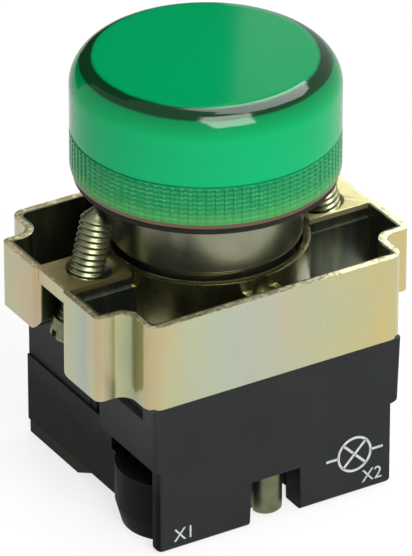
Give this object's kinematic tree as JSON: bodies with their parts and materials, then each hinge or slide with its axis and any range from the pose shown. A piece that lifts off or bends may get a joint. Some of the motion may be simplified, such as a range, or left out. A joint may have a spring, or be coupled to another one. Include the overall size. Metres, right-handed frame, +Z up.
{
  "type": "panel pilot light",
  "caption": "Round green pilot light for a 22 mm panel hole: knurled lens cap on a plated head, clamp collar with two pointed screws, black wiring block with two screw terminals.",
  "frame": {"origin": "centre of the overall box, at the feet of the wiring block; the head's axis passes through it", "axes": "+Z up along the head's axis towards the lens, +X along the collar's long side to the right, +Y from the marked front face to the back"},
  "size_m": [0.0402, 0.0308, 0.0515],
  "materials": {
    "collar_zinc": "yellow-passivated zinc plate over a pressed steel collar",
    "screw_zinc": "zinc-plated steel, turned and threaded",
    "nickel_head": "satin nickel over a zinc casting",
    "seal_rubber": "black nitrile rubber",
    "green_lens": "clear green polycarbonate, polished outside",
    "frosted_cup": "frosted green polycarbonate",
    "lamp_glass": "glass envelope on a plated cap",
    "nickel_brass": "nickel-plated brass",
    "bare_brass": "bare brass strip",
    "insulator": "brown phenolic",
    "spring_steel": "spring wire",
    "block_black": "fine-textured black polyamide"
  },
  "bodies": {
    "root": {"mounting_collar": "collar_zinc", "head_barrel": "nickel_head", "panel_gasket": "seal_rubber", "light_diffuser": "frosted_cup", "lamp": "lamp_glass", "lamp_socket": "nickel_brass", "socket_insulator": "insulator", "contact_spring": "spring_steel", "block_cover": "block_black", "block_base": "block_black", "terminal_plate_left": "bare_brass", "terminal_plate_right": "bare_brass", "block_screw_front": "screw_zinc", "block_screw_rear": "screw_zinc"},
    "lens_gasket": {"lens_gasket": "seal_rubber"},
    "lens_cap": {"lens_cap": "green_lens"},
    "clamp_screw_left": {"clamp_screw_left": "screw_zinc"},
    "clamp_screw_right": {"clamp_screw_right": "screw_zinc"},
    "wire_clamp_left": {"wire_clamp_left": "screw_zinc"},
    "wire_clamp_right": {"wire_clamp_right": "screw_zinc"},
    "terminal_screw_left": {"terminal_screw_left": "screw_zinc"},
    "terminal_screw_right": {"terminal_screw_right": "screw_zinc"},
    "centre_contact": {"centre_contact": "nickel_brass"}
  },
  "joints": [
    {"name": "lens_rise", "type": "slide", "parent": "root", "child": "lens_gasket", "axis": [0, 0, 1], "range_m": [0, 0.003]},
    {"name": "lens_turn", "type": "hinge", "parent": "lens_gasket", "child": "lens_cap", "pos_m": [0, 0, 0.0408], "axis": [0, 0, 1], "range_deg": [0, 1080]},
    {"name": "clamp_screw_left_travel", "type": "slide", "parent": "root", "child": "clamp_screw_left", "axis": [0.2504, 0, 0.9681], "range_m": [-0.006, 0]},
    {"name": "wire_clamp_left_lift", "type": "slide", "parent": "root", "child": "wire_clamp_left", "axis": [0, 0, 1], "range_m": [0, 0.0017]},
    {"name": "terminal_screw_left_turn", "type": "hinge", "parent": "wire_clamp_left", "child": "terminal_screw_left", "pos_m": [-0.0098, -0.0087, 0.0068], "axis": [0, 0, 1], "range_deg": [0, 1020]},
    {"name": "clamp_screw_right_travel", "type": "slide", "parent": "root", "child": "clamp_screw_right", "axis": [-0.2504, 0, 0.9681], "range_m": [-0.006, 0]},
    {"name": "wire_clamp_right_lift", "type": "slide", "parent": "root", "child": "wire_clamp_right", "axis": [0, 0, 1], "range_m": [0, 0.0017]},
    {"name": "terminal_screw_right_turn", "type": "hinge", "parent": "wire_clamp_right", "child": "terminal_screw_right", "pos_m": [0.0098, -0.0087, 0.0068], "axis": [0, 0, 1], "range_deg": [0, 1020]},
    {"name": "contact_press", "type": "slide", "parent": "root", "child": "centre_contact", "axis": [0, 0, 1], "range_m": [-0.001, 0], "stiffness_N_per_m": 600, "springref_m": 0.0006, "deforming": ["contact_spring"]}
  ],
  "couplings": [
    {"joint": "lens_rise", "follows": "lens_turn", "m_per_rad": 0.00015908},
    {"joint": "terminal_screw_left_turn", "follows": "wire_clamp_left_lift", "rad_per_m": 10467},
    {"joint": "terminal_screw_right_turn", "follows": "wire_clamp_right_lift", "rad_per_m": 10467}
  ]
}
